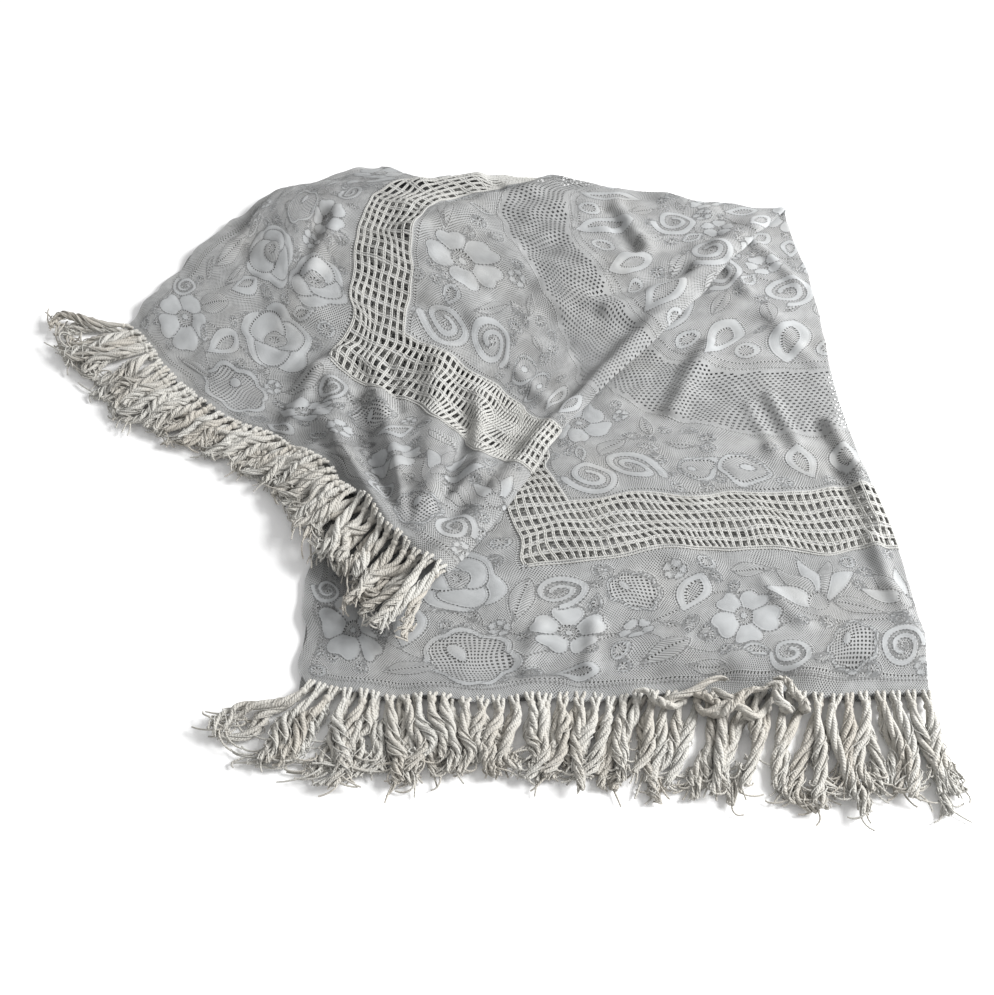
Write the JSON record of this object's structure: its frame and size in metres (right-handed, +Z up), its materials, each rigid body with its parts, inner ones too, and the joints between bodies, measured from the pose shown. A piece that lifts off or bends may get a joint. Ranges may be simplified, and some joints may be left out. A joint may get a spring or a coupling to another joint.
{
  "type": "crochet bedspread",
  "caption": "Fringed lace bedspread folded in half lengthwise, its far half swung over the near half, lying flat on a surface.",
  "frame": {"origin": "centre of the bounding box, on the surface the bedspread lies on", "axes": "+Z up from the surface, -Y towards the near fringed edge, +X towards the lengthwise fold of the near half"},
  "size_m": [1.4184, 1.3318, 0.0542],
  "materials": {
    "lace_cloth": "matt bleached cotton lace",
    "near_fringe": "unbleached twisted cotton yarn",
    "far_fringe": "unbleached twisted cotton yarn"
  },
  "bodies": {
    "root": {"lace_cloth": "lace_cloth", "near_fringe": "near_fringe", "far_fringe": "far_fringe"}
  },
  "joints": []
}
